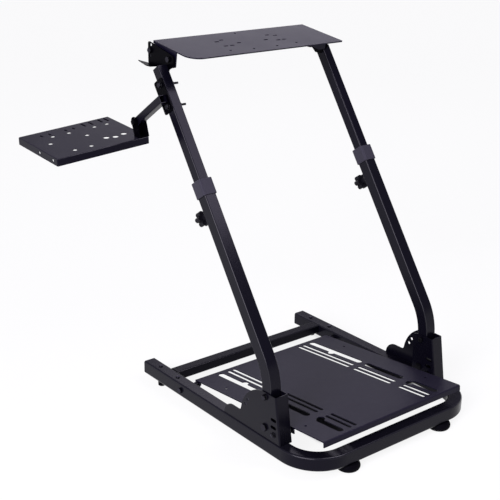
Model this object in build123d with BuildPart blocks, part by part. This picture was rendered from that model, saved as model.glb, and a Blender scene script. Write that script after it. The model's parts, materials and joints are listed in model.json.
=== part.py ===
from build123d import *
from math import atan2, cos, degrees, radians, sin, sqrt
import os

# A folding stand for a racing wheel, pedals and a shifter. A bent U of square tube lies on the
# floor, two leaning posts telescope out of folding brackets on it, and sheet plates carry the
# controls. Sizes are in mm. Positions on the stand are given from the middle (x), back from the
# front face of the U (y) and up from the top of the U tube (z).

# Base
base_width = 580.0
base_length = 690.0
tube = 36.0
tube_wall = 1.8
tube_corner = 5.0
base_bend = 90.0
cap_flange = 3.0
cap_plug = 14.0
cap_gap = 0.2
cap_round = 1.2
crossbar_y = 595.0
crossbar_depth = 32.0
crossbar_height = 26.0
crossbar_corner = 4.0

# Feet
foot_height = 18.0
front_foot_dia = 60.0
front_foot_sole = 50.0
front_foot_x = 158.0
rear_foot_dia = 20.0
rear_foot_edge = 1.5
rear_foot_end = 59.0

# Folding brackets
sheet = 2.5
bracket_inset = 4.0
bracket_front = 117.0
bracket_lean = 20.0
bracket_corner = 10.0
bracket_bend = 4.0
pivot_y = 175.0
pivot_z = 27.0
lock_radius = 80.0
fold_angles = (54.4, 66.7)
arc_margin = 12.0
lobe_height = 33.0
lobe_back = 332.0
inner_cheek_back = 200.0
lock_hole = 8.4
slot_y = 143.0
slot_heights = (20.0, 39.5, 59.0)
slot_length = 20.0
slot_width = 8.4

# Posts
post = 33.0
post_gap = 0.5
post_corner = 3.0
post_drop = 10.0
lean = 34.6
bend_z = 162.0
post_bend = 150.0
lower_top = 487.0
upper = 28.0
upper_wall = 1.5
upper_low = 287.0
upper_top = 790.0
collar = 40.0
collar_length = 41.0
collar_lip = 4.0
collar_round = 1.0
collar_gap = 0.1
slide_gap = 0.4

# Knobs
knob_s = 409.0
knob_dia = 40.0
knob_lobes = 6
knob_lobe_dia = 13.0
knob_thick = 17.0
knob_hub_dia = 19.0
knob_hub = 12.0
knob_stem = 10.0
boss_dia = 20.0
boss_height = 8.0
knob_stand = 1.0

# Bolts that carry a moving piece
bolt = 8.0
bolt_head = 13.0
fold_bolt_dia = 10.0
fold_bolt_head = 17.0
pin_gap = 0.05
loose_gap = 0.2
head_high = 5.0
face_gap = 0.3

# Wheel plate and its brackets
wheel_sheet = 3.0
wheel_s = 797.5
wheel_q = -25.5
wheel_pitch = 8.0
wheel_rise = 24.0
wheel_front = 85.0
wheel_back = 82.0
wheel_rounds = (36.0, 6.0)
tilt_radius = 80.0
tilt_steps = (-10.0, 0.0, 10.0)
cheek_clear = 5.0
cheek_front = 20.0
cheek_past = 9.0
cheek_up = (10.0, 34.0)
cheek_foot = ((42.0, -21.0), (26.0, -34.0), (2.0, -34.0), (-2.0, -25.0))
cheek_down = (16.0, 24.0)
cheek_corner = 6.0
flange_past = 12.0
flange_down = (16.0, 24.0, 22.0)
flange_corner = 5.0
ear_drop = 24.0
ear_front = 45.0
ear_flat = (52.0, 70.0)
ear_reach = 139.0
ear_width = 22.0
wheel_slot = 14.0
wheel_slot_wide = 6.0
wheel_hole = 7.0
wheel_slots = ((95.0, 18.0), (75.0, 27.0), (95.0, -20.0), (75.0, -20.0), (44.0, -7.0))
wheel_holes = ((107.0, -55.0), (38.0, -61.0))
wheel_mid_hole = 67.0

# Shifter arm and tray
mount_sheet = 3.0
mount_low = 674.0
mount_high = 760.0
mount_back = 24.0
mount_corner = 5.0
mount_bolts = (688.0, 745.0)
arm = 20.0
arm_wall = 1.5
arm_corner = 2.5
arm_s = 707.5
arm_start = -5.0
arm_end = 140.0
tray_pivot = 128.0
tray_pitch = 4.0
tray_roll = 4.0
tray_width = 262.0
tray_depth = 197.0
tray_skirt = 19.0
tray_sheet = 1.5
tray_bend = 3.0
tray_rim = 2.5
tray_drop = 37.0
tray_front = 22.5
gusset_gap = 2.0
gusset_cheek = 13.0
gusset_near = 24.0
gusset_far = 62.0
tray_hole = 11.0
tray_big_hole = 15.0
tray_short_slot = 14.0
tray_long_slot = 26.0
tray_slot_wide = 6.0
skirt_hole = 7.0
tray_holes = ((192.0, 147.0), (146.0, 147.0), (71.0, 147.0), (34.0, 147.0),
              (222.0, 104.0), (118.0, 104.0), (196.0, 30.0), (150.0, 30.0))
tray_big_holes = ((90.0, 58.0), (68.0, 50.0), (40.0, 56.0))
tray_short_slots = ((213.0, 166.0), (190.0, 166.0), (143.0, 168.0), (120.0, 168.0))
tray_long_slots = ((87.0, 176.0), (65.0, 176.0), (36.0, 176.0), (18.0, 176.0))
skirt_holes = (22.0, 88.0)

# Pedal plate
pedal_clear = 7.0
pedal_sheet = 2.5
pedal_pivot_y = 517.0
pedal_pivot_z = -17.5
pedal_pitch = 5.3
pedal_rise = 10.5
pedal_back = 9.0
pedal_front = 498.0
pedal_lip = 15.0
pedal_bend = 4.0
pedal_ear_deep = 9.0
pedal_ear_long = 16.0
spacer_dia = 16.0
wide_slot_x = 163.0
wide_slot = 18.0
thin_slot_xs = (135.0, 118.0)
thin_slot = 9.5
slot_runs = ((-211.0, -4.0), (-366.0, -228.0), (-484.0, -395.0))
keyhole_ys = (-102.0, -399.0)
keyhole_dia = 22.0
keyhole_shift = 8.0
pedal_hole = 7.0
pedal_holes = ((25.0, -94.0), (27.0, -404.0))

# Worked out from the sizes above
top = foot_height + tube
arm_x = (base_width - tube) / 2
post_x = base_width / 2 - bracket_inset - sheet - post_gap - post / 2
outer_cheek = post_x + post / 2 + post_gap
inner_cheek = post_x - post / 2 - post_gap - sheet
pedal_half = inner_cheek - head_high - pedal_clear
arc_radius = lock_radius + arc_margin
sin_lean = sin(radians(lean))
cos_lean = cos(radians(lean))
upper_half = upper / 2
cheek_x = post_x - upper_half - sheet
wheel_half = cheek_x - cheek_clear
front_foot_y = tube / 2
rear_foot_y = base_length - rear_foot_end
arm_mid = -(post_x + upper_half + mount_sheet + arm / 2)
hole_r = bolt / 2 + pin_gap


def along_post(s, q):
    """Distance back and up of a point s up the leaning post and q behind its centre line."""
    return pivot_y + s * sin_lean + q * cos_lean, bend_z + s * cos_lean - q * sin_lean


wheel_y, wheel_z = along_post(wheel_s, wheel_q)
tray_y, tray_z = along_post(arm_s, tray_pivot)
tray_x_dir = Vector(cos(radians(tray_roll)), 0, sin(radians(tray_roll)))
tray_z_dir = tray_x_dir.cross(Vector(0, cos(radians(tray_pitch)), sin(radians(tray_pitch)))).normalized()
tray_y_dir = tray_z_dir.cross(tray_x_dir)
tray_right = arm / 2 + gusset_gap + sheet
tray_left = tray_right - tray_width
tray_back = tray_depth - tray_front
far_left = Vector(arm_mid, tray_y, tray_z) + tray_x_dir * tray_left + tray_y_dir * tray_back
tray_far_x = (far_left - tray_z_dir * tray_drop).X
tray_far_y = (far_left - tray_z_dir * (tray_drop + tray_skirt)).Y

# The frame's origin is on the floor under the middle of the whole stand
mid_x = -(tray_far_x + base_width / 2 + head_high) / 2
front_y = -(tray_far_y + front_foot_y - front_foot_dia / 2) / 2


def flat_plane(z):
    """Level plane at a height above the tube's top."""
    return Plane(origin=(mid_x, front_y, top + z))


def side_plane(x, y=0.0, z=0.0, pitch=0.0):
    """Plane facing +X, drawn in distances back and up, turned up at the back by pitch."""
    direction = (0, cos(radians(pitch)), sin(radians(pitch)))
    return Plane(origin=(mid_x + x, front_y + y, top + z), x_dir=direction, z_dir=(1, 0, 0))


def post_plane(x, s):
    """Plane across a leaning post, drawn in x and in distances behind its centre line."""
    y, z = along_post(s, 0)
    return Plane(origin=(mid_x + x, front_y + y, top + z), x_dir=(1, 0, 0), z_dir=(0, sin_lean, cos_lean))


def behind_plane(x, s, q):
    """Plane facing square to a leaning post's back face."""
    y, z = along_post(s, q)
    return Plane(origin=(mid_x + x, front_y + y, top + z), x_dir=(1, 0, 0), z_dir=(0, cos_lean, -sin_lean))


def post_side(x):
    """Plane facing +X, drawn in distances behind and along a leaning post."""
    origin = (mid_x + x, front_y + pivot_y, top + bend_z)
    return Plane(origin=origin, x_dir=(0, cos_lean, -sin_lean), z_dir=(1, 0, 0))


def sheet_plane(y, z, pitch, rise):
    """Plane of a plate turned up at the back by pitch, rise above the bolt it tilts on."""
    normal = Vector(0, -sin(radians(pitch)), cos(radians(pitch)))
    origin = Vector(mid_x, front_y + y, top + z) + normal * rise
    return Plane(origin=origin, x_dir=(1, 0, 0), z_dir=normal)


def tray_plane(rise):
    """Plane of the tray, rise above the bolt it tilts on."""
    origin = Vector(mid_x + arm_mid, front_y + tray_y, top + tray_z) + tray_z_dir * rise
    return Plane(origin=origin, x_dir=tray_x_dir, z_dir=tray_z_dir)


def tray_side(x):
    """Plane across the tray, drawn in distances back and up from the bolt it tilts on."""
    origin = Vector(mid_x + arm_mid, front_y + tray_y, top + tray_z) + tray_x_dir * x
    return Plane(origin=origin, x_dir=tray_y_dir, z_dir=tray_x_dir)


def low_x(sign, near, thick):
    """Lower x of a slab whose face towards the middle is near, on the side given by sign."""
    return near if sign > 0 else -near - thick


def save(piece, name):
    piece.label = name
    export_step(piece, f"parts/{name}.step")


os.makedirs("parts", exist_ok=True)

with BuildPart() as base_tube:
    with BuildLine(flat_plane(-tube / 2)) as run:
        FilletPolyline(
            (-arm_x, base_length - cap_flange),
            (-arm_x, tube / 2),
            (arm_x, tube / 2),
            (arm_x, base_length - cap_flange),
            radius=base_bend,
        )
    with BuildSketch(Plane(origin=run.line @ 0, x_dir=(1, 0, 0), z_dir=run.line % 0)):
        RectangleRounded(tube, tube, tube_corner)
        RectangleRounded(
            tube - 2 * tube_wall, tube - 2 * tube_wall, tube_corner - tube_wall, mode=Mode.SUBTRACT
        )
    sweep()
    with BuildSketch(side_plane(0)):
        with Locations((pedal_pivot_y, pedal_pivot_z)):
            Circle(bolt / 2 + loose_gap)
    extrude(amount=base_width, both=True, mode=Mode.SUBTRACT)
save(base_tube.part, "base_tube")

with BuildPart() as crossbar:
    with BuildSketch(side_plane(-base_width / 2 + tube, crossbar_y, -crossbar_height / 2)):
        RectangleRounded(crossbar_depth, crossbar_height, crossbar_corner)
        RectangleRounded(
            crossbar_depth - 2 * tube_wall,
            crossbar_height - 2 * tube_wall,
            crossbar_corner - tube_wall,
            mode=Mode.SUBTRACT,
        )
    extrude(amount=base_width - 2 * tube)
save(crossbar.part, "crossbar")

for side, sign in (("left", -1), ("right", 1)):
    with BuildPart() as front_foot:
        with BuildSketch(
            Plane(origin=(mid_x + sign * front_foot_x, front_y + front_foot_y, 0), x_dir=(1, 0, 0), z_dir=(0, -1, 0))
        ):
            with BuildLine():
                wide = front_foot_dia / 2
                sole = front_foot_sole / 2
                ThreePointArc((sole, 0), (wide, foot_height / 2), (sole, foot_height))
                Polyline((sole, foot_height), (0, foot_height), (0, 0), (sole, 0))
            make_face()
        revolve(axis=Axis((mid_x + sign * front_foot_x, front_y + front_foot_y, 0), (0, 0, 1)))
    save(front_foot.part, f"{side}_front_foot")

    with BuildPart() as rear_foot:
        with BuildSketch(Plane(origin=(mid_x + sign * arm_x, front_y + rear_foot_y, 0))):
            Circle(rear_foot_dia / 2)
        extrude(amount=foot_height)
        chamfer(rear_foot.edges().group_by(Axis.Z)[0], length=rear_foot_edge)
    save(rear_foot.part, f"{side}_rear_foot")

    with BuildPart() as end_cap:
        cap_face = Plane(
            origin=(mid_x + sign * arm_x, front_y + base_length, top - tube / 2), x_dir=(1, 0, 0), z_dir=(0, -1, 0)
        )
        with BuildSketch(cap_face):
            RectangleRounded(tube, tube, tube_corner)
        extrude(amount=cap_flange)
        with BuildSketch(cap_face.offset(cap_flange)):
            plug = tube - 2 * tube_wall - 2 * cap_gap
            RectangleRounded(plug, plug, tube_corner - tube_wall)
        extrude(amount=cap_plug)
        fillet(end_cap.edges().group_by(Axis.Y)[-1], radius=cap_round)
    save(end_cap.part, f"{side}_end_cap")

    with BuildPart() as base_bracket:
        arc_end = degrees(atan2(lobe_height - pivot_z, sqrt(arc_radius**2 - (lobe_height - pivot_z) ** 2)))
        with BuildSketch(side_plane(low_x(sign, outer_cheek, sheet))) as outer_outline:
            with BuildLine():
                Polyline(
                    (bracket_front, 0),
                    (bracket_front + bracket_lean, pivot_z + arc_radius),
                    (pivot_y, pivot_z + arc_radius),
                )
                sweep_arc = CenterArc((pivot_y, pivot_z), arc_radius, 90, arc_end - 90)
                Line(sweep_arc @ 1, (lobe_back - lobe_height, lobe_height))
                CenterArc((lobe_back - lobe_height, 0), lobe_height, 90, -90)
                Line((lobe_back, 0), (bracket_front, 0))
            make_face()
            fillet(outer_outline.vertices().sort_by_distance(sweep_arc @ 1)[0], radius=bracket_corner)
            for angle in fold_angles:
                turn = radians(angle)
                with Locations((pivot_y + lock_radius * sin(turn), pivot_z + lock_radius * cos(turn))):
                    Circle(lock_hole / 2, mode=Mode.SUBTRACT)
        extrude(amount=sheet)
        with BuildSketch(side_plane(low_x(sign, inner_cheek, sheet))):
            with BuildLine():
                over = inner_cheek_back - pivot_y
                arc_start = degrees(atan2(sqrt(arc_radius**2 - over**2), over))
                Polyline(
                    (bracket_front, 0),
                    (bracket_front + bracket_lean, pivot_z + arc_radius),
                    (pivot_y, pivot_z + arc_radius),
                )
                short_arc = CenterArc((pivot_y, pivot_z), arc_radius, 90, arc_start - 90)
                Polyline(short_arc @ 1, (inner_cheek_back, 0), (bracket_front, 0))
            make_face()
        extrude(amount=sheet)
        bracket_wide = outer_cheek + sheet - inner_cheek
        with BuildSketch(side_plane(low_x(sign, inner_cheek, bracket_wide))):
            with BuildLine():
                Polyline(
                    (bracket_front, 0),
                    (bracket_front + bracket_lean, pivot_z + arc_radius),
                    (bracket_front + bracket_lean + sheet, pivot_z + arc_radius),
                    (bracket_front + sheet, 0),
                    close=True,
                )
            make_face()
        extrude(amount=bracket_wide)
        rise = pivot_z + arc_radius
        bends = base_bracket.edges().filter_by(Axis((0, 0, 0), (0, bracket_lean, rise)))
        fillet(bends.group_by(Axis((0, 0, 0), (0, -rise, bracket_lean)))[-1], radius=bracket_bend)
        with BuildSketch(flat_plane(0)):
            plate_front = bracket_front + sheet
            with Locations((sign * post_x, (plate_front + inner_cheek_back) / 2)):
                Rectangle(post + 2 * post_gap + sheet, inner_cheek_back - plate_front)
            inside = base_width / 2 - tube
            outside = outer_cheek + sheet
            with Locations((sign * (inside + outside) / 2, (inner_cheek_back + lobe_back) / 2)):
                Rectangle(outside - inside, lobe_back - inner_cheek_back)
        extrude(amount=sheet)
        with BuildSketch(side_plane(-base_width / 2)):
            with Locations((pivot_y, pivot_z)):
                Circle(fold_bolt_dia / 2 + loose_gap)
            with Locations((pivot_y, pivot_z + lock_radius)):
                Circle(lock_hole / 2)
            for height in slot_heights:
                with Locations((slot_y, height)):
                    SlotOverall(slot_length, slot_width)
        extrude(amount=base_width, mode=Mode.SUBTRACT)
    save(base_bracket.part, f"{side}_base_bracket")

    with BuildPart() as fold_bolt:
        with BuildSketch(side_plane(low_x(sign, inner_cheek, outer_cheek + sheet - inner_cheek), pivot_y, pivot_z)):
            Circle(fold_bolt_dia / 2)
        extrude(amount=outer_cheek + sheet - inner_cheek)
        for near in (inner_cheek - head_high, outer_cheek + sheet):
            with BuildSketch(side_plane(low_x(sign, near, head_high), pivot_y, pivot_z)):
                RegularPolygon(fold_bolt_head / 2, 6, major_radius=False)
            extrude(amount=head_high)
    save(fold_bolt.part, f"{side}_fold_bolt")

    with BuildPart() as lower_post:
        end_y, end_z = along_post(lower_top, 0)
        with BuildLine(side_plane(sign * post_x)) as rise:
            FilletPolyline((pivot_y, pivot_z - post_drop), (pivot_y, bend_z), (end_y, end_z), radius=post_bend)
        with BuildSketch(Plane(origin=rise.line @ 0, x_dir=(1, 0, 0), z_dir=rise.line % 0)):
            RectangleRounded(post, post, post_corner)
            RectangleRounded(
                post - 2 * tube_wall, post - 2 * tube_wall, post_corner - tube_wall, mode=Mode.SUBTRACT
            )
        sweep()
        with BuildSketch(behind_plane(sign * post_x, knob_s, post / 2)):
            Circle(boss_dia / 2)
        extrude(amount=boss_height)
        with BuildSketch(behind_plane(sign * post_x, knob_s, post / 2 - 2 * tube_wall)):
            Circle(knob_stem / 2 + pin_gap)
        extrude(amount=boss_height + 3 * tube_wall, mode=Mode.SUBTRACT)
        with BuildSketch(side_plane(sign * post_x, pivot_y, pivot_z)):
            Circle(fold_bolt_dia / 2 + pin_gap)
            with Locations((0, lock_radius)):
                Circle(lock_hole / 2)
        extrude(amount=post, both=True, mode=Mode.SUBTRACT)
    save(lower_post.part, f"{side}_lower_post")

    with BuildPart() as post_collar:
        with BuildSketch(post_plane(sign * post_x, lower_top + collar_lip - collar_length)):
            RectangleRounded(collar, collar, post_corner + (collar - post) / 2)
        extrude(amount=collar_length)
        ends = post_collar.faces().sort_by(Axis((0, 0, 0), (0, sin_lean, cos_lean)))
        fillet(ends[0].edges() + ends[-1].edges(), radius=collar_round)
        with BuildSketch(post_plane(sign * post_x, lower_top + collar_lip - collar_length)):
            RectangleRounded(post + 2 * collar_gap, post + 2 * collar_gap, post_corner + collar_gap)
        extrude(amount=collar_length - collar_lip, mode=Mode.SUBTRACT)
        with BuildSketch(post_plane(sign * post_x, lower_top - collar_lip)):
            RectangleRounded(upper + 2 * slide_gap, upper + 2 * slide_gap, post_corner)
        extrude(amount=3 * collar_lip, mode=Mode.SUBTRACT)
    save(post_collar.part, f"{side}_collar")

    with BuildPart() as knob:
        knob_low = post / 2 + boss_height + knob_stand
        with BuildSketch(behind_plane(sign * post_x, knob_s, knob_low)):
            Circle(knob_hub_dia / 2)
        extrude(amount=knob_hub)
        with BuildSketch(behind_plane(sign * post_x, knob_s, knob_low + knob_hub)):
            Circle((knob_dia - knob_lobe_dia) / 2)
            with PolarLocations((knob_dia - knob_lobe_dia) / 2, knob_lobes):
                Circle(knob_lobe_dia / 2)
        extrude(amount=knob_thick)
        with BuildSketch(behind_plane(sign * post_x, knob_s, post / 2 - tube_wall)):
            Circle(knob_stem / 2)
        extrude(amount=knob_low + tube_wall - post / 2)
    save(knob.part, f"{side}_knob")

    with BuildPart() as upper_post:
        with BuildSketch(post_plane(sign * post_x, upper_low)):
            RectangleRounded(upper, upper, post_corner)
            RectangleRounded(
                upper - 2 * upper_wall, upper - 2 * upper_wall, post_corner - upper_wall, mode=Mode.SUBTRACT
            )
        extrude(amount=upper_top - upper_low)
    save(upper_post.part, f"{side}_upper_post")

    with BuildPart() as wheel_bracket:
        cheek_back = tilt_radius + cheek_past
        with BuildSketch(side_plane(low_x(sign, cheek_x, sheet), wheel_y, wheel_z)) as cheek_outline:
            with BuildLine():
                Polyline(
                    (-cheek_front, cheek_up[0]),
                    (cheek_back, cheek_up[1]),
                    (cheek_back, -cheek_down[1]),
                    *cheek_foot,
                    (-cheek_front, -cheek_down[0]),
                    close=True,
                )
            make_face()
            fillet(cheek_outline.vertices(), radius=cheek_corner)
            Circle(bolt / 2 + loose_gap, mode=Mode.SUBTRACT)
            for step in tilt_steps:
                turn = radians(wheel_pitch + step)
                with Locations((tilt_radius * cos(turn), tilt_radius * sin(turn))):
                    Circle(lock_hole / 2, mode=Mode.SUBTRACT)
        extrude(amount=sheet)
        with BuildSketch(flat_plane(wheel_z - ear_drop)):
            with BuildLine():
                Polyline(
                    (sign * cheek_x, wheel_y + ear_front),
                    (sign * (cheek_x + ear_width), wheel_y + ear_flat[0]),
                    (sign * (cheek_x + ear_width), wheel_y + ear_flat[1]),
                    (sign * cheek_x, wheel_y + ear_reach),
                    close=True,
                )
            make_face()
        extrude(amount=sheet)
    save(wheel_bracket.part, f"{side}_wheel_bracket")

    with BuildPart() as wheel_bolt:
        wheel_tip = wheel_half - wheel_sheet - face_gap - head_high
        with BuildSketch(side_plane(low_x(sign, wheel_tip, cheek_x + sheet - wheel_tip), wheel_y, wheel_z)):
            Circle(bolt / 2)
        extrude(amount=cheek_x + sheet - wheel_tip)
        for near in (wheel_tip, cheek_x + sheet):
            with BuildSketch(side_plane(low_x(sign, near, head_high), wheel_y, wheel_z)):
                RegularPolygon(bolt_head / 2, 6, major_radius=False)
            extrude(amount=head_high)
        with BuildSketch(side_plane(low_x(sign, wheel_half + face_gap, cheek_clear - face_gap), wheel_y, wheel_z)):
            Circle(spacer_dia / 2)
        extrude(amount=cheek_clear - face_gap)
    save(wheel_bolt.part, f"{side}_wheel_bolt")

    with BuildPart() as pedal_bolt:
        ear_in = pedal_half - pedal_sheet
        pedal_tip = ear_in - face_gap - head_high
        shank = base_width / 2 - pedal_tip
        with BuildSketch(side_plane(low_x(sign, pedal_tip, shank), pedal_pivot_y, pedal_pivot_z)):
            Circle(bolt / 2)
        extrude(amount=shank)
        for near in (pedal_tip, base_width / 2):
            with BuildSketch(side_plane(low_x(sign, near, head_high), pedal_pivot_y, pedal_pivot_z)):
                RegularPolygon(bolt_head / 2, 6, major_radius=False)
            extrude(amount=head_high)
        spacer = base_width / 2 - tube - pedal_half - face_gap
        with BuildSketch(side_plane(low_x(sign, pedal_half + face_gap, spacer), pedal_pivot_y, pedal_pivot_z)):
            Circle(spacer_dia / 2)
        extrude(amount=spacer)
    save(pedal_bolt.part, f"{side}_pedal_bolt")

with BuildPart() as wheel_plate:
    plate = sheet_plane(wheel_y, wheel_z, wheel_pitch, wheel_rise - wheel_sheet)
    with BuildSketch(plate) as plate_outline:
        with Locations((0, (wheel_back - wheel_front) / 2)):
            Rectangle(2 * wheel_half, wheel_back + wheel_front)
        for end, round_radius in zip((0, -1), wheel_rounds):
            front = plate_outline.vertices().group_by(Axis.Y)[0].sort_by(Axis.X)
            fillet(front[end], radius=round_radius)
        fillet(plate_outline.vertices().group_by(Axis.Y)[-1], radius=wheel_sheet)
        for x, y in wheel_slots:
            with Locations((x, y), (-x, y)):
                SlotOverall(wheel_slot, wheel_slot_wide, mode=Mode.SUBTRACT)
        for x, y in wheel_holes:
            with Locations((x, y), (-x, y)):
                Circle(wheel_hole / 2, mode=Mode.SUBTRACT)
        with Locations((0, wheel_mid_hole)):
            Circle(wheel_hole / 2, mode=Mode.SUBTRACT)
    extrude(amount=wheel_sheet)
    for sign in (-1, 1):
        flange_x = low_x(sign, wheel_half - wheel_sheet, wheel_sheet)
        flange_back = tilt_radius + flange_past
        with BuildSketch(side_plane(flange_x, wheel_y, wheel_z, wheel_pitch)) as flange:
            with BuildLine():
                Polyline(
                    (-cheek_front, wheel_rise - wheel_sheet),
                    (wheel_back - wheel_sheet, wheel_rise - wheel_sheet),
                    (flange_back, 0),
                    (flange_back, -flange_down[2]),
                    (0, -flange_down[1]),
                    (-cheek_front, -flange_down[0]),
                    close=True,
                )
            make_face()
            fillet(flange.vertices().group_by(Axis.Y)[0:3], radius=flange_corner)
            Circle(hole_r, mode=Mode.SUBTRACT)
            for step in tilt_steps:
                turn = radians(step)
                with Locations((tilt_radius * cos(turn), tilt_radius * sin(turn))):
                    Circle(lock_hole / 2, mode=Mode.SUBTRACT)
        extrude(amount=wheel_sheet)
save(wheel_plate.part, "wheel_plate")

with BuildPart() as shifter_mount:
    with BuildSketch(post_side(-post_x - upper_half - mount_sheet)) as mount_outline:
        with Locations(((mount_back - upper_half) / 2, (mount_low + mount_high) / 2)):
            RectangleRounded(mount_back + upper_half, mount_high - mount_low, mount_corner)
        for s in mount_bolts:
            with Locations((0, s)):
                Circle(lock_hole / 2, mode=Mode.SUBTRACT)
    extrude(amount=mount_sheet)
save(shifter_mount.part, "shifter_mount")

with BuildPart() as shifter_arm:
    with BuildSketch(behind_plane(arm_mid, arm_s, arm_start)):
        RectangleRounded(arm, arm, arm_corner)
        RectangleRounded(arm - 2 * arm_wall, arm - 2 * arm_wall, arm_corner - arm_wall, mode=Mode.SUBTRACT)
    extrude(amount=arm_end - arm_start)
    with BuildSketch(tray_side(0)):
        Circle(hole_r)
    extrude(amount=arm, both=True, mode=Mode.SUBTRACT)
save(shifter_arm.part, "shifter_arm")

with BuildPart() as shifter_gusset:
    with BuildSketch(tray_plane(-tray_drop)):
        with BuildLine():
            Polyline(
                (tray_right, -tray_front),
                (tray_right, gusset_far - tray_front),
                (-tray_right, gusset_near - tray_front),
                (-tray_right, -tray_front),
                close=True,
            )
        make_face()
    extrude(amount=sheet)
    for near, foot in ((-tray_right, gusset_near), (tray_right - sheet, gusset_far)):
        with BuildSketch(tray_side(near)):
            with BuildLine():
                cheek_arc = CenterArc((0, 0), gusset_cheek, 0, 180)
                Polyline(
                    cheek_arc @ 1,
                    (-tray_front, -tray_drop + sheet),
                    (foot - tray_front, -tray_drop + sheet),
                    cheek_arc @ 0,
                )
            make_face()
            Circle(bolt / 2 + loose_gap, mode=Mode.SUBTRACT)
        extrude(amount=sheet)
save(shifter_gusset.part, "shifter_gusset")

with BuildPart() as shifter_bolt:
    with BuildSketch(tray_side(-tray_right)):
        Circle(bolt / 2)
    extrude(amount=2 * tray_right)
    for near in (-tray_right - head_high, tray_right):
        with BuildSketch(tray_side(near)):
            RegularPolygon(bolt_head / 2, 6, major_radius=False)
        extrude(amount=head_high)
save(shifter_bolt.part, "shifter_bolt")

with BuildPart() as shifter_tray:
    with BuildSketch(tray_plane(-tray_drop - tray_skirt)):
        with Locations(((tray_right + tray_left) / 2, (tray_back - tray_front) / 2)):
            RectangleRounded(tray_width, tray_depth, tray_bend)
    extrude(amount=tray_skirt)
    rim = shifter_tray.faces().sort_by(Axis((0, 0, 0), tuple(tray_z_dir)))[-1]
    fillet(rim.edges(), radius=tray_rim)
    with BuildSketch(tray_plane(-tray_drop - tray_skirt)):
        with Locations(((tray_right + tray_left) / 2, (tray_back - tray_front) / 2)):
            Rectangle(tray_width - 2 * tray_sheet, tray_depth - 2 * tray_sheet)
    extrude(amount=tray_skirt - tray_sheet, mode=Mode.SUBTRACT)
    with BuildSketch(tray_plane(-tray_drop - tray_sheet)):
        for across, back in tray_holes:
            with Locations((tray_right - across, back - tray_front)):
                Circle(tray_hole / 2)
        for across, back in tray_big_holes:
            with Locations((tray_right - across, back - tray_front)):
                Circle(tray_big_hole / 2)
        for across, back in tray_short_slots:
            with Locations((tray_right - across, back - tray_front)):
                SlotOverall(tray_short_slot, tray_slot_wide, rotation=90)
        for across, back in tray_long_slots:
            with Locations((tray_right - across, back - tray_front)):
                SlotOverall(tray_long_slot, tray_slot_wide, rotation=90)
    extrude(amount=tray_sheet, mode=Mode.SUBTRACT)
    with BuildSketch(tray_side(tray_left)):
        for back in skirt_holes:
            with Locations((back - tray_front, -tray_drop - tray_skirt / 2)):
                Circle(skirt_hole / 2)
    extrude(amount=tray_sheet, mode=Mode.SUBTRACT)
save(shifter_tray.part, "shifter_tray")

with BuildPart() as pedal_plate:
    with BuildSketch(side_plane(-pedal_half, pedal_pivot_y, pedal_pivot_z, -pedal_pitch)) as pedal_profile:
        with BuildLine():
            high = pedal_rise
            low = pedal_rise - pedal_sheet
            Polyline(
                (pedal_back, high),
                (-pedal_front, high),
                (-pedal_front, high - pedal_lip),
                (-pedal_front + pedal_sheet, high - pedal_lip),
                (-pedal_front + pedal_sheet, low),
                (pedal_back, low),
                close=True,
            )
        make_face()
        fillet(pedal_profile.vertices().sort_by_distance((-pedal_front, high))[0], radius=pedal_bend)
        fillet(
            pedal_profile.vertices().sort_by_distance((-pedal_front + pedal_sheet, low))[0],
            radius=pedal_bend - pedal_sheet,
        )
    extrude(amount=2 * pedal_half)
    with BuildSketch(sheet_plane(pedal_pivot_y, pedal_pivot_z, -pedal_pitch, pedal_rise - pedal_sheet)):
        for start, stop in slot_runs:
            for x in (-wide_slot_x, wide_slot_x):
                with Locations((x, (start + stop) / 2)):
                    SlotOverall(stop - start, wide_slot, rotation=90)
            for x in thin_slot_xs:
                with Locations((x, (start + stop) / 2), (-x, (start + stop) / 2)):
                    SlotOverall(stop - start, thin_slot, rotation=90)
        for y in keyhole_ys:
            with Locations((wide_slot_x - keyhole_shift, y), (keyhole_shift - wide_slot_x, y)):
                Circle(keyhole_dia / 2)
        for edge, y in pedal_holes:
            x = pedal_half - edge
            with Locations((x, y), (-x, y)):
                Circle(pedal_hole / 2)
    extrude(amount=pedal_sheet, mode=Mode.SUBTRACT)
    pitch = radians(pedal_pitch)
    slot_back = slot_y - pedal_pivot_y
    slot_up = slot_heights[0] - pedal_pivot_z
    height_y = slot_back * cos(pitch) - slot_up * sin(pitch)
    height_z = slot_back * sin(pitch) + slot_up * cos(pitch)
    for sign in (-1, 1):
        ear_x = low_x(sign, pedal_half - pedal_sheet, pedal_sheet)
        with BuildSketch(side_plane(ear_x, pedal_pivot_y, pedal_pivot_z, -pedal_pitch)):
            for y, z, gap in ((0, 0, pin_gap), (height_y, height_z, loose_gap)):
                deep = low - z + pedal_ear_deep
                with Locations((y, (low + z - pedal_ear_deep) / 2)):
                    Rectangle(2 * pedal_back if y == 0 else 2 * pedal_ear_long, deep)
                with Locations((y, z)):
                    Circle(bolt / 2 + gap, mode=Mode.SUBTRACT)
        extrude(amount=pedal_sheet)
save(pedal_plate.part, "pedal_plate")
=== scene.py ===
# %% [markdown]
# ## A folding stand for a racing wheel
# The stand is black painted steel: a bent tube base, two leaning posts that telescope, and sheet
# plates for a wheel, a pedal set and a shifter. All of that could be modelled here, but the CAD model
# already has every main shape to size. So this lesson loads it as a fixed frame and adds what a CAD
# model leaves out: paint, plastic and rubber that answer to light, and the small bolts that hold the
# sheets together.

import json
from math import cos, pi, radians, sin

import bmesh
import bpy
from mathutils import Matrix, Vector


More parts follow.
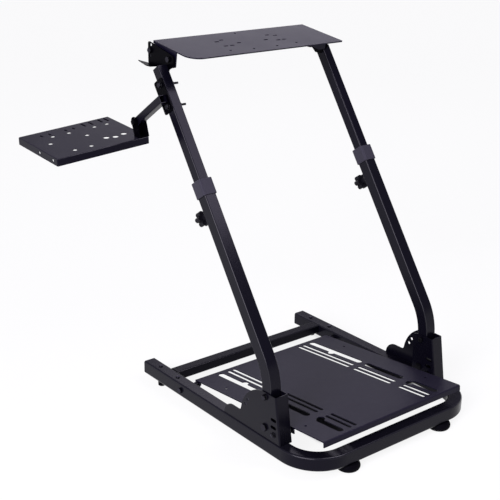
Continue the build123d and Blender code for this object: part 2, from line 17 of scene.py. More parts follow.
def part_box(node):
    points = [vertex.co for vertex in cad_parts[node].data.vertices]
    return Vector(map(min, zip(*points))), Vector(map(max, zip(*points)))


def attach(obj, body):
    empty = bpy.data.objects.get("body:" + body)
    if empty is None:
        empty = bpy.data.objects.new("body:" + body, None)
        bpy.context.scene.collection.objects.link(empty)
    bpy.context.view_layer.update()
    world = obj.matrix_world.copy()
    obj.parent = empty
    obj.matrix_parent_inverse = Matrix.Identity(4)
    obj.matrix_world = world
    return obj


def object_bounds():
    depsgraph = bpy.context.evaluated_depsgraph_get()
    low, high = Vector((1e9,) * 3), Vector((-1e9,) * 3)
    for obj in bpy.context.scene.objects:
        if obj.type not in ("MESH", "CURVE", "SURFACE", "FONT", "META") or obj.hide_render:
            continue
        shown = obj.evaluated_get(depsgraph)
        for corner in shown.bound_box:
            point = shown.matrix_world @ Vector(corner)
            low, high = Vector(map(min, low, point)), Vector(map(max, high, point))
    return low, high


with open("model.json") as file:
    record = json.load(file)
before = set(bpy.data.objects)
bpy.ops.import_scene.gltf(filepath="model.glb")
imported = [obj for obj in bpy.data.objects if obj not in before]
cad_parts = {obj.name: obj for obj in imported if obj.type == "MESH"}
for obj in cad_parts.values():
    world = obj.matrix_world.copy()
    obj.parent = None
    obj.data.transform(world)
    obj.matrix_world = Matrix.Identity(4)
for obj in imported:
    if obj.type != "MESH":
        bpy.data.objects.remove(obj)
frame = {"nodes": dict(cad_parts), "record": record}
cad_low, cad_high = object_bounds()
print("CAD box", [round(v, 3) for v in cad_low], [round(v, 3) for v in cad_high])

# %% [markdown]
# ## Where the photograph was taken from
# The photograph is taken from in front of the stand, to its left, looking down a little. A camera can
# be placed by eye, but here its place comes from a fit to the straight edges of the photograph. It is
# written from the middle of the base tube's front top edge, so it stays right if the stand is moved in
# its frame. A camera matrix is three axes: right, up, and backwards.

# %% Camera
base_low, base_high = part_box("base_tube")
base_ref = Vector(((base_low.x + base_high.x) / 2, base_low.y, base_high.z))
camera_at = base_ref + Vector((-1.70426, -1.52175, 1.29149))
look_at = base_ref + Vector((-0.21052, 0.32695, 0.400))
camera_roll = radians(0.85)
film_width = 36.0
focal_length = 76.17
film_shift = (-0.0031, 0.011)

forward = (look_at - camera_at).normalized()
level = forward.cross(Vector((0, 0, 1))).normalized()
upright = level.cross(forward)
right = level * cos(camera_roll) + upright * sin(camera_roll)
up = upright * cos(camera_roll) - level * sin(camera_roll)
camera_turn = Matrix((right, up, -forward)).transposed().to_4x4()

lens = bpy.data.cameras.new("photo_camera")
lens.sensor_width = film_width
lens.lens = focal_length
lens.shift_x, lens.shift_y = film_shift
camera = bpy.data.objects.new("photo_camera", lens)
camera.matrix_world = Matrix.Translation(camera_at) @ camera_turn
bpy.context.collection.objects.link(camera)
bpy.context.scene.camera = camera
print("camera at", [round(v, 3) for v in camera_at])

# %% [markdown]
# ## Helpers for node trees
# A material is a tree of nodes, and it could be wired by hand in the shader editor. In a script the
# same few lines come back for every node, so three helpers take them up: one for arithmetic, one for a
# ramp, and one for a mix of two colours. Each hands back its output, ready to feed the next node.

# %% Node helpers
FIRST_COLOUR = 6
SECOND_COLOUR = 7
MIXED_COLOUR = 2
WHITE = (1, 1, 1, 1)


def feed(tree, socket, source):
    """Links a socket to another node's output, or sets it where the source is a plain value."""
    if isinstance(source, bpy.types.NodeSocket):
        tree.links.new(source, socket)
    else:
        socket.default_value = source


def worked_out(tree, operation, *terms):
    """The output of a math node on outputs or numbers."""
    node = tree.nodes.new("ShaderNodeMath")
    node.operation = operation
    for socket, term in zip(node.inputs, terms):
        feed(tree, socket, term)
    return node.outputs[0]


def ramp(tree, value, start, end, low=0.0, high=1.0, kind="LINEAR"):
    """Goes from low to high while the value goes from start to end, and stays level outside."""
    node = tree.nodes.new("ShaderNodeMapRange")
    node.interpolation_type = kind
    feed(tree, node.inputs["Value"], value)
    feed(tree, node.inputs["From Min"], start)
    feed(tree, node.inputs["From Max"], end)
    feed(tree, node.inputs["To Min"], low)
    feed(tree, node.inputs["To Max"], high)
    return node.outputs["Result"]


def blend(tree, factor, first, second):
    """The first colour at a factor of nought, the second at one."""
    node = tree.nodes.new("ShaderNodeMix")
    node.data_type = "RGBA"
    feed(tree, node.inputs["Factor"], factor)
    feed(tree, node.inputs[FIRST_COLOUR], first)
    feed(tree, node.inputs[SECOND_COLOUR], second)
    return node.outputs[MIXED_COLOUR]


print("node helpers ready")

# %% [markdown]
# ## A white floor
# The stand was photographed on white. A square plane could do, but a wide disc has no corner that shows
# at the horizon. It lies a hair below the feet, so that no two faces share a place.

# %% Floor disc
floor_radius = 40.0
floor_sides = 96
floor_drop = 0.0005
floor_mesh = bpy.data.meshes.new("studio_floor")
form = bmesh.new()
bmesh.ops.create_circle(form, cap_ends=True, segments=floor_sides, radius=floor_radius)
form.to_mesh(floor_mesh)
form.free()
floor = bpy.data.objects.new("studio_floor", floor_mesh)
floor.location.z = cad_low.z - floor_drop
bpy.context.collection.objects.link(floor)
print("floor radius", floor_radius, "m")

# %% [markdown]
# ## Shade on the floor
# Under the middle of the pedal plate, and close under the right arm of the base, little light reaches
# the floor. It shows as dark slots in the plate. The floor's own white would hide that shade, so three
# soft rectangles mark where it lies: the plate's, the arm's, and a faint long one along the arm. Each
# edge is given by its axis, its place and half the width that it fades over; a fade below nought marks
# the far edge.

# %% Floor shade
floor_paint = bpy.data.materials.new("studio_floor")
floor_paint.use_nodes = True
floor_tree = floor_paint.node_tree
floor_tree.nodes.clear()
floor_point = floor_tree.nodes.new("ShaderNodeNewGeometry")
across_back = floor_tree.nodes.new("ShaderNodeSeparateXYZ")
floor_tree.links.new(floor_point.outputs["Position"], across_back.inputs[0])


def soft_patch(edges):
    """A mask that is one inside a rectangle of the floor and fades out over its edges."""
    mask = 1.0
    for axis, edge, fade in edges:
        side = ramp(floor_tree, across_back.outputs[axis], edge - fade, edge + fade, kind="SMOOTHSTEP")
        mask = worked_out(floor_tree, "MULTIPLY", mask, side)
    return mask


plate_low, plate_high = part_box("pedal_plate")
plate_fade = 0.012
plate_shade = (
    ("X", plate_low.x + 0.105, plate_fade),
    ("X", plate_high.x - 0.085, -plate_fade),
    ("Y", plate_low.y + 0.120, plate_fade),
    ("Y", plate_high.y - 0.135, -plate_fade),
)
arm_fade = 0.003
arm_shade = (
    ("X", base_high.x - 0.032, arm_fade),
    ("X", base_high.x - 0.001, -arm_fade),
    ("Y", base_low.y + 0.215, 0.016),
    ("Y", base_low.y + 0.393, -0.014),
)
long_fade = 0.009
long_end_fade = 0.060
long_depth = 0.7
long_shade = (
    ("X", base_high.x - 0.018, long_fade),
    ("X", base_high.x - 0.004, -long_fade),
    ("Y", base_low.y + 0.150, long_end_fade),
    ("Y", base_high.y - 0.090, -long_end_fade),
)
faint = worked_out(floor_tree, "MULTIPLY", soft_patch(long_shade), long_depth)
under_arm = worked_out(floor_tree, "MAXIMUM", soft_patch(arm_shade), faint)
deep_shade = worked_out(floor_tree, "MAXIMUM", soft_patch(plate_shade), under_arm)
print("three patches of shade")

# %% [markdown]
# ## The floor's material
# More light would turn the floor white, but it would wash out the stand as well. So the material adds
# white only for rays from the camera and from mirrors, which Light Path tells apart. It keeps a small
# share of its own shading, so that the stand's shadow stays, and adds no white in the deep shade.

# %% Floor material
white_share = 0.88
lit_tone = (0.95, 0.95, 0.95, 1)
shaded_tone = (0.03, 0.03, 0.033, 1)
seen_by = floor_tree.nodes.new("ShaderNodeLightPath").outputs
direct = worked_out(floor_tree, "MAXIMUM", seen_by["Is Camera Ray"], seen_by["Is Glossy Ray"])
in_sight = worked_out(floor_tree, "MAXIMUM", direct, seen_by["Is Transmission Ray"])
open_share = ramp(floor_tree, deep_shade, 0.0, 1.0, white_share, 0.0)
share = worked_out(floor_tree, "MULTIPLY", in_sight, open_share)
shaded = floor_tree.nodes.new("ShaderNodeBsdfDiffuse")
feed(floor_tree, shaded.inputs["Color"], blend(floor_tree, deep_shade, lit_tone, shaded_tone))
glow = floor_tree.nodes.new("ShaderNodeEmission")
glow.inputs["Strength"].default_value = 1.0
floor_mix = floor_tree.nodes.new("ShaderNodeMixShader")
for socket, source in zip(floor_mix.inputs, (share, shaded.outputs[0], glow.outputs[0])):
    floor_tree.links.new(source, socket)
floor_out = floor_tree.nodes.new("ShaderNodeOutputMaterial")
floor_tree.links.new(floor_mix.outputs[0], floor_out.inputs["Surface"])
floor_mesh.materials.append(floor_paint)
print("floor material", floor_paint.name)

# %% [markdown]
# ## Soft light
# Black paint has almost no colour of its own: what shows is what it mirrors. Small lamps would leave
# hard spots, so the lights are large and few. A soft box at the left draws the thin bright line down
# the rounded corners of the posts, one overhead shows in the left post's front face, and two behind
# show in the wheel plate and the tray. A wide sun from the left lights the floor evenly and casts the
# shadow; it is hidden from mirrors, so it leaves no glare.

# %% Lights
middle = (cad_low + cad_high) / 2
box_colour = (0.95, 0.91, 1.0)


def soft_box(name, place, width, height, radiance):
    """A rectangular light at a place given from the middle of the stand, facing the middle."""
    lamp = bpy.data.lights.new(name, "AREA")
    lamp.shape = "RECTANGLE"
    lamp.size = width
    lamp.size_y = height
    lamp.energy = pi * radiance * width * height
    lamp.color = box_colour
    box = bpy.data.objects.new(name, lamp)
    box.location = middle + Vector(place)
    box.rotation_euler = (-Vector(place)).to_track_quat("-Z", "Y").to_euler()
    bpy.context.collection.objects.link(box)


soft_box("overhead_soft_box", (0.58, -0.62, 1.26), width=0.50, height=1.00, radiance=6.5)
soft_box("back_soft_box", (2.3, 2.6, 1.75), width=1.5, height=0.9, radiance=1.9)
soft_box("far_soft_box", (1.15, 2.70, 1.60), width=0.9, height=0.8, radiance=0.75)
soft_box("left_soft_box", (-1.76, -0.79, 0.85), width=1.8, height=1.5, radiance=4.0)

sun_way = Vector((0.84, 0.30, -0.45))
sun_lamp = bpy.data.lights.new("left_sun", "SUN")
sun_lamp.energy = 2.6
sun_lamp.angle = radians(24)
sun_lamp.color = (0.98, 0.95, 1.0)
sun = bpy.data.objects.new("left_sun", sun_lamp)
sun.rotation_euler = sun_way.to_track_quat("-Z", "Y").to_euler()
sun.visible_glossy = False
bpy.context.collection.objects.link(sun)
print("four soft boxes and a sun")

# %% [markdown]
# ## The room around the stand
# The world stands for the walls. A picture of a studio could light it, but plain colour is enough: a
# quiet violet grey, which the paint takes up. The camera sees white instead, and mirrors see white
# near the horizon, so that the floor seems to go on.

# %% World
wall_colour = (0.276, 0.264, 0.342, 1)
white_below = 0.12
quiet_above = 0.26
world = bpy.data.worlds.new("studio")
world.use_nodes = True
sky = world.node_tree
look = sky.nodes.new("ShaderNodeTexCoord")
rise = sky.nodes.new("ShaderNodeSeparateXYZ")
sky.links.new(look.outputs["Generated"], rise.inputs[0])
horizon = ramp(sky, rise.outputs["Z"], quiet_above, white_below, kind="SMOOTHSTEP")
sight = sky.nodes.new("ShaderNodeLightPath").outputs
mirrored = worked_out(sky, "MAXIMUM", sight["Is Glossy Ray"], sight["Is Transmission Ray"])
low_mirrored = worked_out(sky, "MULTIPLY", mirrored, horizon)
white_part = worked_out(sky, "MAXIMUM", sight["Is Camera Ray"], low_mirrored)
backdrop = sky.nodes["Background"]
feed(sky, backdrop.inputs["Color"], blend(sky, white_part, wall_colour, WHITE))
backdrop.inputs["Strength"].default_value = 1.0
bpy.context.scene.world = world
bpy.context.scene.view_settings.view_transform = "Standard"
print("world white at the horizon, quiet above")

# %% [markdown]
# ## Grain that several finishes share
# Sprayed paint and moulded plastic are never quite even. Each material could have its own noise, but a
# node group is built once and placed in each of them with its own values. This one puts out a height
# for a bump node, and a roughness that drifts a little over the piece. A group only puts out values
# and colours; each material keeps its own shader.

# %% Grain group
def new_input(group, name, kind, start):
    """Adds an input with a starting value to a node group."""
    made = group.interface.new_socket(name, in_out="INPUT", socket_type=kind)
    made.default_value = start
    return made


fine_detail = 2.0
drift_scale = 9.0
drift_detail = 3.0
noise_middle = 0.5
grain_inputs = (("Grain Size", 900, 1, 4000), ("Roughness", 0.4, 0, 1), ("Drift", 0.1, 0, 1))
grain = bpy.data.node_groups.new("sprayed_grain", "ShaderNodeTree")
for name, start, least, most in grain_inputs:
    made = new_input(grain, name, "NodeSocketFloat", start)
    made.min_value = least
    made.max_value = most
grain.interface.new_socket("Height", in_out="OUTPUT", socket_type="NodeSocketFloat")
grain.interface.new_socket("Roughness", in_out="OUTPUT", socket_type="NodeSocketFloat")
grain_in = grain.nodes.new("NodeGroupInput").outputs
grain_out = grain.nodes.new("NodeGroupOutput").inputs
grain_place = grain.nodes.new("ShaderNodeTexCoord").outputs["Object"]
fine = grain.nodes.new("ShaderNodeTexNoise")
feed(grain, fine.inputs["Vector"], grain_place)
feed(grain, fine.inputs["Scale"], grain_in["Grain Size"])
feed(grain, fine.inputs["Detail"], fine_detail)
feed(grain, grain_out["Height"], fine.outputs["Fac"])
broad = grain.nodes.new("ShaderNodeTexNoise")
feed(grain, broad.inputs["Vector"], grain_place)
feed(grain, broad.inputs["Scale"], drift_scale)
feed(grain, broad.inputs["Detail"], drift_detail)
centred = worked_out(grain, "SUBTRACT", broad.outputs["Fac"], noise_middle)
drifted = worked_out(grain, "MULTIPLY_ADD", centred, grain_in["Drift"], grain_in["Roughness"])
feed(grain, grain_out["Roughness"], drifted)
print("group", grain.name)

# %% [markdown]
# ## Painted sheen on faces that look up
# The plates that lie flat are paler than the tubes, because they mirror the pale room above them at a
# slant. That sheen could be painted on by hand, but the face's own direction says enough: the more it
# looks up, the more of the painted sheen's pale colour is mixed in. A little noise keeps it from being quite
# even.

# %% Painted sheen group
sheen_scale = 60.0
sheen_detail = 6.0
sheen_swing = 0.3
sheen_least = 0.35
sheen_group = bpy.data.node_groups.new("painted_top_sheen", "ShaderNodeTree")
new_input(sheen_group, "Paint", "NodeSocketColor", (0.02, 0.02, 0.02, 1))
# The second colour is the painted sheen, a pale violet like the room that the up-facing faces mirror.
new_input(sheen_group, "Sheen", "NodeSocketColor", (0.28, 0.26, 0.34, 1))
new_input(sheen_group, "Amount", "NodeSocketFloat", 0.05)
sheen_group.interface.new_socket("Color", in_out="OUTPUT", socket_type="NodeSocketColor")
sheen_in = sheen_group.nodes.new("NodeGroupInput").outputs
sheen_out = sheen_group.nodes.new("NodeGroupOutput").inputs
facing = sheen_group.nodes.new("ShaderNodeSeparateXYZ")
feed(sheen_group, facing.inputs[0], sheen_group.nodes.new("ShaderNodeNewGeometry").outputs["Normal"])
upward = worked_out(sheen_group, "MAXIMUM", facing.outputs["Z"], 0.0)
sheen_noise = sheen_group.nodes.new("ShaderNodeTexNoise")
feed(sheen_group, sheen_noise.inputs["Vector"], sheen_group.nodes.new("ShaderNodeTexCoord").outputs["Object"])
feed(sheen_group, sheen_noise.inputs["Scale"], sheen_scale)
feed(sheen_group, sheen_noise.inputs["Detail"], sheen_detail)
evened = worked_out(sheen_group, "MULTIPLY_ADD", sheen_noise.outputs["Fac"], sheen_swing, sheen_least)
# Painted sheen: how far the face looks up, with a little noise, sets how much pale colour goes in.
upward_sheen = worked_out(sheen_group, "MULTIPLY", upward, evened)
scaled = worked_out(sheen_group, "MULTIPLY", upward_sheen, sheen_in["Amount"])
feed(sheen_group, sheen_out["Color"], blend(sheen_group, scaled, sheen_in["Paint"], sheen_in["Sheen"]))
print("group", sheen_group.name)

# %% [markdown]
# ## Rubbed corners of tubes
# A thin bright line runs down the rounded corners of the tubes, as it does where paint is rubbed
# glossy. A second material on the corner faces could show it, but the CAD pieces stay as they are. So
# the group finds the corners by direction: it compares the surface's own normal with one axis, and puts
# out a mask that is high where the two are at a slant. The mask feeds a clear coat.

# %% Rubbed corner group
slant_least = 0.03
slant_full = 0.16
rubbed = bpy.data.node_groups.new("rubbed_corner", "ShaderNodeTree")
new_input(rubbed, "Axis", "NodeSocketVector", (0, 0, 1))
most_in = new_input(rubbed, "Most", "NodeSocketFloat", 1.0)
most_in.min_value = 0.0
most_in.max_value = 1.0
rubbed.interface.new_socket("Mask", in_out="OUTPUT", socket_type="NodeSocketFloat")
rubbed_in = rubbed.nodes.new("NodeGroupInput").outputs
rubbed_out = rubbed.nodes.new("NodeGroupOutput").inputs
toward = rubbed.nodes.new("ShaderNodeVectorMath")
toward.operation = "DOT_PRODUCT"
feed(rubbed, toward.inputs[0], rubbed.nodes.new("ShaderNodeTexCoord").outputs["Normal"])
feed(rubbed, toward.inputs[1], rubbed_in["Axis"])
along_axis = worked_out(rubbed, "MULTIPLY", toward.outputs["Value"], toward.outputs["Value"])
off_axis = worked_out(rubbed, "SUBTRACT", 1.0, along_axis)
slant = worked_out(rubbed, "MULTIPLY", along_axis, off_axis)
mask = ramp(rubbed, slant, slant_least, slant_full, 0.0, rubbed_in["Most"])
feed(rubbed, rubbed_out["Mask"], mask)
print("group", rubbed.name)

# %% [markdown]
# ## Finishes
# On the real stand nearly everything carries the same black paint. One material could serve, but each
# piece mirrors another part of the room and has its own gloss, so each kind of piece gets a finish of
# its own. Every finish is one Principled shader fed by the groups: grain for its roughness and bump,
# a painted sheen on faces that look up for its colour, and a coat on rubbed corners where the piece is a
# tube or a tray.

# %% Finish helper
UP = (0, 0, 1)
ACROSS = (1, 0, 0)
gloss_tint = (0.86, 0.82, 1.0, 1)
grain_depth = 0.0002
rubbed_most = 0.6
rubbed_rough = 0.22
finishes = {}


def placed(tree, group, **values):
    """Places a node group in a material with its own values; an underscore stands for a space."""
    node = tree.nodes.new("ShaderNodeGroup")
    node.node_tree = group
    for name, value in values.items():
        node.inputs[name.replace("_", " ")].default_value = value
    return node.outputs


def finish(name, colour, rough, drift, grain_size, bump, sheen_amount=0.0, metal=0.0, specular=0.5, corner=None):
    """Makes a material; corner is the axis that its rubbed corners turn away from."""
    made = bpy.data.materials.new(name)
    made.use_nodes = True
    tree = made.node_tree
    shader = tree.nodes["Principled BSDF"].inputs
    shader["Metallic"].default_value = metal
    shader["Specular IOR Level"].default_value = specular
    shader["Specular Tint"].default_value = gloss_tint
    grainy = placed(tree, grain, Grain_Size=grain_size, Roughness=rough, Drift=drift)
    feed(tree, shader["Roughness"], grainy["Roughness"])
    relief = tree.nodes.new("ShaderNodeBump")
    relief.inputs["Strength"].default_value = bump
    relief.inputs["Distance"].default_value = grain_depth
    feed(tree, relief.inputs["Height"], grainy["Height"])
    feed(tree, shader["Normal"], relief.outputs["Normal"])
    paint = (*colour, 1)
    # A painted sheen: a paler colour mixed into the faces that look up.
    if sheen_amount:
        paint = placed(tree, sheen_group, Paint=paint, Amount=sheen_amount)["Color"]
    feed(tree, shader["Base Color"], paint)
    if corner:
        feed(tree, shader["Coat Weight"], placed(tree, rubbed, Axis=corner, Most=rubbed_most)["Mask"])
        shader["Coat Roughness"].default_value = rubbed_rough
    finishes[name] = made


print("finish helper ready")

# %% [markdown]
# ## Paint, plastic, rubber and steel
# The tubes are sprayed glossy, the plates a little duller, and the brackets darker. The collars, knobs
# and end caps are moulded plastic with a coarser grain, the feet are rubber, and the bolts are
# blackened steel. This near to black the gloss matters more than the colour, and a colour read off the
# photograph would hold the gloss as well. Each finish was therefore set by rendering it and comparing
# the piece's tone with the photograph's.

# %% Finishes
tube = {"drift": 0.08, "grain_size": 1400, "bump": 0.06}
sheet = {"drift": 0.08, "grain_size": 1600, "bump": 0.06}
moulded = {"drift": 0.10, "grain_size": 800, "bump": 0.20}
soft_moulded = {"drift": 0.10, "grain_size": 800, "bump": 0.25}
rubber = {"drift": 0.10, "grain_size": 600, "bump": 0.30}
steel = {"drift": 0.10, "grain_size": 1200, "bump": 0.10}
base_black = (0.0026, 0.0024, 0.0050)
# The sheen amounts paint a paler sheen onto faces that look up; the flat plates get the most.
finish("frame_paint", base_black, 0.24, **tube, sheen_amount=0.006, specular=0.12, corner=UP)
finish("crossbar_paint", (0.0022, 0.0020, 0.0040), 0.26, **tube, sheen_amount=0.005, specular=0.06, corner=UP)
finish("lower_post_paint", base_black, 0.22, **tube, sheen_amount=0.006, specular=0.13, corner=ACROSS)
finish("upper_post_paint", (0.0024, 0.0021, 0.0052), 0.20, **tube, sheen_amount=0.004, specular=0.10, corner=ACROSS)
finish("base_bracket_paint", (0.0016, 0.0014, 0.0036), 0.28, **tube, sheen_amount=0.004, specular=0.15)
finish("bracket_paint", (0.0005, 0.0004, 0.0011), 0.34, **tube, sheen_amount=0.001, specular=0.02)
finish("plate_paint", (0.0034, 0.0027, 0.0092), 0.40, **sheet, sheen_amount=0.072, specular=0.125)
finish("tray_paint", (0.0030, 0.0025, 0.0066), 0.36, **sheet, sheen_amount=0.045, specular=0.11, corner=UP)
finish("collar_plastic", (0.0250, 0.0234, 0.0330), 0.50, **soft_moulded, sheen_amount=0.015, specular=0.16)
finish("knob_plastic", (0.0042, 0.0040, 0.0060), 0.42, **moulded, sheen_amount=0.008, specular=0.10)
finish("cap_plastic", (0.0050, 0.0048, 0.0075), 0.48, **moulded, sheen_amount=0.010, specular=0.12)
finish("foot_rubber", (0.0014, 0.0013, 0.0024), 0.60, **rubber, sheen_amount=0.003, specular=0.04)
finish("bolt_steel", (0.018, 0.018, 0.021), 0.30, **steel, metal=0.9)
print("finishes", sorted(finishes))

# %% [markdown]
# ## Paint the CAD pieces
# Every piece of the CAD model names the slot that its finish belongs to, so most are painted by that
# name. A few get a finish of their own, found by how the piece's name ends, which serves the left and
# the right one alike.

# %% Paint the CAD nodes
own_finish = {
    "lower_post": "lower_post_paint",
    "upper_post": "upper_post_paint",
    "base_bracket": "base_bracket_paint",
    "shifter_tray": "tray_paint",
    "crossbar": "crossbar_paint",
    "shifter_arm": "upper_post_paint",
}
for entry in frame["record"]["subparts"]:
    coat = entry["material_slot"]
    for ending, special in own_finish.items():
        if entry["node"].endswith(ending):
            coat = special
    skin = frame["nodes"][entry["node"]].data.materials
    skin.clear()
    skin.append(finishes[coat])

# %% [markdown]
# ## Small bolts
# The bolts that carry a moving piece are in the CAD model. The others only hold a position, and show
# as heads, nuts and thread ends. A cylinder with a bevel could do for each, but a profile turned about
# an axis gives them all with one helper: six steps make a hexagon, many make a round head. A bolt
# rides on the body that it stays with when a joint moves.

# %% Turned pieces
MM_PER_M = 1000
HEX_STEPS = 6
ROUND_STEPS = 32
WASHER_STEPS = 40
crease = radians(35)


def turned(name, profile, steps, at, axis, body, slot="bolt_steel"):
    """Turns a profile of (radius, height) pairs, in mm, about an axis through a point."""
    mesh = bpy.data.meshes.new(name)
    form = bmesh.new()
    rings = []
    for radius, height in profile:
        reach = radius / MM_PER_M
        lift = height / MM_PER_M
        count = steps if radius else 1
        turns = [2 * pi * step / steps for step in range(count)]
        rings.append([form.verts.new((reach * cos(turn), reach * sin(turn), lift)) for turn in turns])
    for low, high in zip(rings, rings[1:]):
        for step in range(steps):
            after = (step + 1) % steps
            near = [low[step % len(low)], low[after % len(low)]]
            far = [high[after % len(high)], high[step % len(high)]]
            form.faces.new(list(dict.fromkeys(near + far)))
    bmesh.ops.recalc_face_normals(form, faces=form.faces)
    if steps > HEX_STEPS:
        for face in form.faces:
            face.smooth = True
        for edge in form.edges:
            edge.smooth = edge.calc_face_angle(0) < crease
    form.to_mesh(mesh)
    form.free()
    piece = bpy.data.objects.new(name, mesh)
    facing_axis = Vector(axis).to_track_quat("Z", "Y").to_matrix().to_4x4()
    piece.matrix_world = Matrix.Translation(at) @ facing_axis
    bpy.context.collection.objects.link(piece)
    mesh.materials.append(finishes[slot])
    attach(piece, body)


print("turned pieces ready")

# %% [markdown]
# ## Heads, nuts and washers
# Every bolt could have its own list of points, but three profiles give all the heads: a hexagon with a
# chamfered top, a low dome and a flat washer. Each is written once as shares of its radius and height,
# and scaled to the size of the bolt.

# %% Bolt profiles
HEX_SHAPE = ((0, 0), (1, 0), (1, 0.75), (0.85, 1), (0, 1))
DOME_SHAPE = ((0, 0), (1, 0), (1, 0.35), (0.85, 0.75), (0.5, 0.96), (0, 1))
WASHER_SHAPE = ((0, 0), (1, 0), (1, 0.7), (0.96, 1), (0, 1))


def scaled_profile(shape, radius, high):
    """A profile in mm from shares of a radius and a height."""
    return [(radius * wide, high * rise) for wide, rise in shape]


def hex_profile(across, high):
    """A hexagon head or nut, by the width across its flats."""
    return scaled_profile(HEX_SHAPE, across / 2 / cos(pi / 6), high)


def round_profile(wide, high):
    """A low domed head."""
    return scaled_profile(DOME_SHAPE, wide / 2, high)


def washer_profile(wide, high):
    """A flat washer with its top edge broken."""
    return scaled_profile(WASHER_SHAPE, wide / 2, high)


print("bolt profiles ready")

# %% [markdown]
# ## Bolts on the folding brackets
# A lock bolt holds each post upright above its fold bolt. It goes with the post, since it sits in the
# post's own hole. Lower in front, a bolt in one of the three slots sets the height of the pedal plate's
# front, with a spacer between the bracket and the plate's edge. That one goes with the plate. All of
# them are placed from the boxes of the CAD pieces, so they follow if a bracket moves.

# %% Lock bolts and height bolts
SIDES = (("left", -1), ("right", 1))
lock_height = 0.080
slot_back = -0.032
slot_rise = -0.007
face_gap = 0.0003
lock_washer_high = 1.5
height_washer_high = 1.2
spacer_radius = 6
lock_washer = washer_profile(17, lock_washer_high)
lock_head = hex_profile(13, 5.5)
lock_nut = hex_profile(13, 6)
height_washer = washer_profile(15, height_washer_high)
height_head = round_profile(11, 4)
pedal_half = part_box("pedal_plate")[1].x - base_ref.x
for side, sign in SIDES:
    low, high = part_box(f"{side}_base_bracket")
    fold_low, fold_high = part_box(f"{side}_fold_bolt")
    fold = (fold_low + fold_high) / 2
    inside, outside = (low.x, high.x) if sign > 0 else (high.x, low.x)
    out = Vector((sign, 0, 0))
    lock = Vector((outside, fold.y, fold.z + lock_height)) + out * face_gap
    turned(f"{side}_lock_washer", lock_washer, WASHER_STEPS, lock, out, "posts")
    on_washer = lock + out * (lock_washer_high / MM_PER_M)
    turned(f"{side}_lock_head", lock_head, HEX_STEPS, on_washer, out, "posts")
    back = Vector((inside, lock.y, lock.z)) - out * face_gap
    turned(f"{side}_lock_nut", lock_nut, HEX_STEPS, back, -out, "posts")
    slotted = Vector((outside, fold.y + slot_back, fold.z + slot_rise)) + out * face_gap
    turned(f"{side}_height_washer", height_washer, WASHER_STEPS, slotted, out, "pedal_rest")
    on_washer = slotted + out * (height_washer_high / MM_PER_M)
    turned(f"{side}_height_head", height_head, ROUND_STEPS, on_washer, out, "pedal_rest")
    inner = Vector((inside, slotted.y, slotted.z)) - out * face_gap
    gap = (abs(inside - base_ref.x) - pedal_half - face_gap) * MM_PER_M
    spacer = [(0, 0), (spacer_radius, 0), (spacer_radius, gap), (0, gap)]
    turned(f"{side}_height_spacer", spacer, ROUND_STEPS, inner, -out, "pedal_rest")
print("bracket bolts made")

# %% [markdown]
# ## Bolts on the base
# Two low heads on each arm of the base stand either side of the crossbar. They could be hexagons like
# the others, but in the photograph they look low and round, so they are domes.

# %% Base bolts
arm_head = round_profile(12, 3)
arm_places = (("front", -0.041), ("rear", 0.040))
bar_low, bar_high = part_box("crossbar")
bar_y = (bar_low.y + bar_high.y) / 2
for side, _ in SIDES:
    cap_low, cap_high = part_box(f"{side}_end_cap")
    for place, away in arm_places:
        at = Vector(((cap_low.x + cap_high.x) / 2, bar_y + away, base_high.z))
        turned(f"{side}_{place}_arm_bolt", arm_head, ROUND_STEPS, at, UP, "base")
print("base bolts made")

# %% [markdown]
# ## Bolts of the shifter mount
# Two long bolts go through the left post and hold the shifter's mount plate: their heads show outside,
# and their thread ends and nuts stick out inside. A screw modifier could cut a true thread, but at
# this size ridges that go straight round look the same and stay light.

# %% Shifter mount bolts
post_lean = radians(34.6)
post_behind_wheel = 0.0255
mount_places = (("upper", 0.0525), ("lower", 0.1095))
mount_washer_high = 1.5
mount_washer = washer_profile(16, mount_washer_high)
mount_head = hex_profile(12, 5)
mount_nut = hex_profile(12, 6)
ridge_radius = 3.0
root_radius = 2.6
ridge_step = 1.15
ridge_count = 19
thread_end = 21
thread_steps = 24
thread = [(0, 0)]
for step in range(ridge_count):
    thread.append((ridge_radius if step % 2 else root_radius, step * ridge_step))
thread.append((0, thread_end))

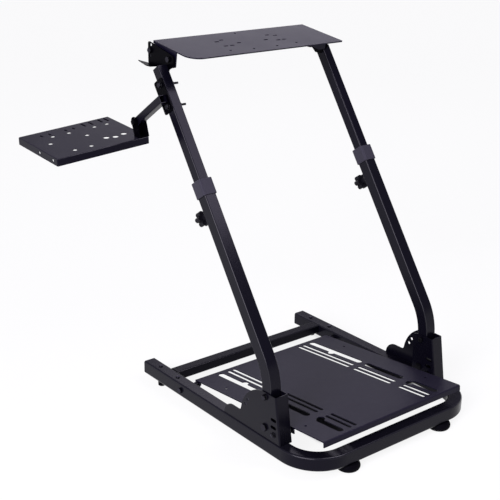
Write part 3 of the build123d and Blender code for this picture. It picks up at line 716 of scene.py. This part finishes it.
along_post = Vector((0, sin(post_lean), cos(post_lean)))
behind_post = Vector((0, cos(post_lean), -sin(post_lean)))
left = Vector((-1, 0, 0))
mount_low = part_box("shifter_mount")[0]
post_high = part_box("left_upper_post")[1]
wheel_low, wheel_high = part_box("left_wheel_bolt")
post_line = (wheel_low + wheel_high) / 2 + behind_post * post_behind_wheel
for place, down in mount_places:
    spot = post_line - along_post * down
    outer = Vector((mount_low.x, spot.y, spot.z))
    turned(f"{place}_mount_washer", mount_washer, WASHER_STEPS, outer, left, "upper_frame")
    on_washer = outer + left * (mount_washer_high / MM_PER_M)
    turned(f"{place}_mount_head", mount_head, HEX_STEPS, on_washer, left, "upper_frame")
    inner = Vector((post_high.x, spot.y, spot.z))
    turned(f"{place}_mount_nut", mount_nut, HEX_STEPS, inner, -left, "upper_frame")
    turned(f"{place}_mount_thread", thread, thread_steps, inner, -left, "upper_frame")
print("shifter mount bolts made")

# %% [markdown]
# ## Locks of the wheel plate's tilt
# A bolt in the middle hole of each wheel bracket's arc holds the tilt of the wheel plate. One piece
# could stand for the whole bolt, but the head stays on the bracket and the nut goes with the plate when
# it tilts. So they are two pieces, and each rides on its own body.

# %% Wheel tilt locks
tilt_reach = 0.080
tilt_turn = radians(8.0)
bolt_head_high = 0.005
tilt_head = hex_profile(13, 5.5)
tilt_nut = hex_profile(13, 6)
for side, sign in SIDES:
    low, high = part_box(f"{side}_wheel_bolt")
    pivot = (low + high) / 2
    out = Vector((sign, 0, 0))
    spot = pivot + Vector((0, tilt_reach * cos(tilt_turn), tilt_reach * sin(tilt_turn)))
    inside, outside = (low.x, high.x) if sign > 0 else (high.x, low.x)
    outer = Vector((outside - sign * bolt_head_high, spot.y, spot.z))
    turned(f"{side}_tilt_head", tilt_head, HEX_STEPS, outer, out, "upper_frame")
    inner = Vector((inside + sign * bolt_head_high, spot.y, spot.z))
    turned(f"{side}_tilt_nut", tilt_nut, HEX_STEPS, inner, -out, "wheel_rest")
print("wheel tilt locks made")
